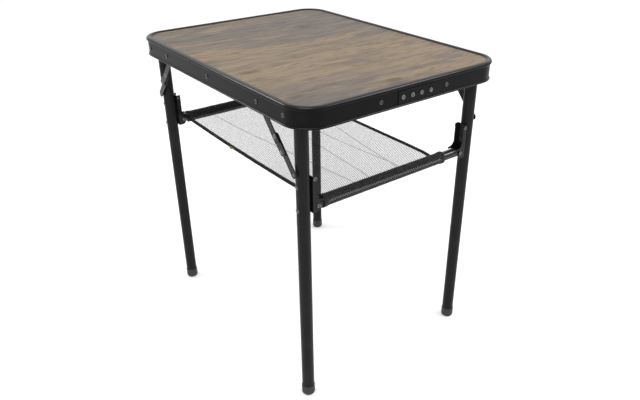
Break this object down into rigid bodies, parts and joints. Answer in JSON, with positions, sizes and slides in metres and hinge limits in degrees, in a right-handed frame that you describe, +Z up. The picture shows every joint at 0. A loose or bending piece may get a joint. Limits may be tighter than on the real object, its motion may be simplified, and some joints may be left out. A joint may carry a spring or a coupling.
{
  "type": "folding camp kitchen table",
  "caption": "Small rectangular folding camp table: laminated board in a black metal edge frame, plug-in tube legs with folding braces, and a net shelf between the crossbars.",
  "frame": {"origin": "on the floor, under the middle of the table", "axes": "+Z up; +X along the crossbars (the table's width); +Y along the table's length, the way the leg frames fold"},
  "size_m": [0.46, 0.6, 0.61],
  "materials": {
    "laminate": "satin rustic wood print",
    "edge_metal": "satin black",
    "tube_metal": "satin black",
    "bracket_metal": "satin black",
    "link_metal": "black plated",
    "foot_plastic": "matt black",
    "webbing": "black woven",
    "net": "open mesh"
  },
  "bodies": {
    "top": {"tabletop_board": "laminate", "edge_frame_left": "edge_metal", "edge_frame_right": "edge_metal", "splice_plate_front": "bracket_metal", "splice_plate_back": "bracket_metal", "hinge_bracket_front_left": "bracket_metal", "hinge_bracket_front_right": "bracket_metal", "hinge_bracket_back_left": "bracket_metal", "hinge_bracket_back_right": "bracket_metal", "shelf_net": "net", "shelf_binding_left": "webbing", "shelf_binding_right": "webbing"},
    "frame_front": {"crossbar_front": "tube_metal", "shelf_sleeve_front": "webbing", "upper_leg_front_left": "tube_metal", "upper_leg_front_right": "tube_metal", "elbow_bracket_front_left": "bracket_metal", "elbow_bracket_front_right": "bracket_metal"},
    "frame_back": {"crossbar_back": "tube_metal", "shelf_sleeve_back": "webbing", "upper_leg_back_left": "tube_metal", "upper_leg_back_right": "tube_metal", "elbow_bracket_back_left": "bracket_metal", "elbow_bracket_back_right": "bracket_metal"},
    "brace_upper_front_left": {"brace_upper_front_left": "link_metal"},
    "brace_lower_front_left": {"brace_lower_front_left": "link_metal"},
    "lower_leg_front_left": {"lower_leg_front_left": "tube_metal", "foot_cap_front_left": "foot_plastic"},
    "brace_upper_front_right": {"brace_upper_front_right": "link_metal"},
    "brace_lower_front_right": {"brace_lower_front_right": "link_metal"},
    "lower_leg_front_right": {"lower_leg_front_right": "tube_metal", "foot_cap_front_right": "foot_plastic"},
    "brace_upper_back_left": {"brace_upper_back_left": "link_metal"},
    "brace_lower_back_left": {"brace_lower_back_left": "link_metal"},
    "lower_leg_back_left": {"lower_leg_back_left": "tube_metal", "foot_cap_back_left": "foot_plastic"},
    "brace_upper_back_right": {"brace_upper_back_right": "link_metal"},
    "brace_lower_back_right": {"brace_lower_back_right": "link_metal"},
    "lower_leg_back_right": {"lower_leg_back_right": "tube_metal", "foot_cap_back_right": "foot_plastic"}
  },
  "joints": [
    {"name": "fold_front", "type": "hinge", "parent": "top", "child": "frame_front", "pos_m": [0, -0.255, 0.583], "axis": [1, 0, 0], "range_deg": [0, 90], "deforming": ["shelf_net", "shelf_binding_left", "shelf_binding_right"]},
    {"name": "brace_upper_pivot_front_left", "type": "hinge", "parent": "top", "child": "brace_upper_front_left", "pos_m": [-0.217, -0.17, 0.583], "axis": [-1, 0, 0], "range_deg": [0, 48.8]},
    {"name": "brace_lower_pivot_front_left", "type": "hinge", "parent": "frame_front", "child": "brace_lower_front_left", "pos_m": [-0.2135, -0.255, 0.486], "axis": [1, 0, 0], "range_deg": [0, 41.3]},
    {"name": "lower_leg_pull_front_left", "type": "slide", "parent": "top", "child": "lower_leg_front_left", "axis": [0, 0, -1], "range_m": [0, 0.06]},
    {"name": "brace_upper_pivot_front_right", "type": "hinge", "parent": "top", "child": "brace_upper_front_right", "pos_m": [0.217, -0.17, 0.583], "axis": [-1, 0, 0], "range_deg": [0, 48.8]},
    {"name": "brace_lower_pivot_front_right", "type": "hinge", "parent": "frame_front", "child": "brace_lower_front_right", "pos_m": [0.2135, -0.255, 0.486], "axis": [1, 0, 0], "range_deg": [0, 41.3]},
    {"name": "lower_leg_pull_front_right", "type": "slide", "parent": "top", "child": "lower_leg_front_right", "axis": [0, 0, -1], "range_m": [0, 0.06]},
    {"name": "fold_back", "type": "hinge", "parent": "top", "child": "frame_back", "pos_m": [0, 0.255, 0.583], "axis": [-1, 0, 0], "range_deg": [0, 90]},
    {"name": "brace_upper_pivot_back_left", "type": "hinge", "parent": "top", "child": "brace_upper_back_left", "pos_m": [-0.217, 0.17, 0.583], "axis": [1, 0, 0], "range_deg": [0, 48.8]},
    {"name": "brace_lower_pivot_back_left", "type": "hinge", "parent": "frame_back", "child": "brace_lower_back_left", "pos_m": [-0.2135, 0.255, 0.486], "axis": [-1, 0, 0], "range_deg": [0, 41.3]},
    {"name": "lower_leg_pull_back_left", "type": "slide", "parent": "top", "child": "lower_leg_back_left", "axis": [0, 0, -1], "range_m": [0, 0.06]},
    {"name": "brace_upper_pivot_back_right", "type": "hinge", "parent": "top", "child": "brace_upper_back_right", "pos_m": [0.217, 0.17, 0.583], "axis": [1, 0, 0], "range_deg": [0, 48.8]},
    {"name": "brace_lower_pivot_back_right", "type": "hinge", "parent": "frame_back", "child": "brace_lower_back_right", "pos_m": [0.2135, 0.255, 0.486], "axis": [-1, 0, 0], "range_deg": [0, 41.3]},
    {"name": "lower_leg_pull_back_right", "type": "slide", "parent": "top", "child": "lower_leg_back_right", "axis": [0, 0, -1], "range_m": [0, 0.06]}
  ],
  "couplings": [
    {"joint": "brace_upper_pivot_front_left", "follows": "fold_front", "ratio": 0.54191},
    {"joint": "brace_lower_pivot_front_left", "follows": "fold_front", "ratio": 0.45809},
    {"joint": "brace_upper_pivot_front_right", "follows": "fold_front", "ratio": 0.54191},
    {"joint": "brace_lower_pivot_front_right", "follows": "fold_front", "ratio": 0.45809},
    {"joint": "brace_upper_pivot_back_left", "follows": "fold_back", "ratio": 0.54191},
    {"joint": "brace_lower_pivot_back_left", "follows": "fold_back", "ratio": 0.45809},
    {"joint": "brace_upper_pivot_back_right", "follows": "fold_back", "ratio": 0.54191},
    {"joint": "brace_lower_pivot_back_right", "follows": "fold_back", "ratio": 0.45809}
  ]
}
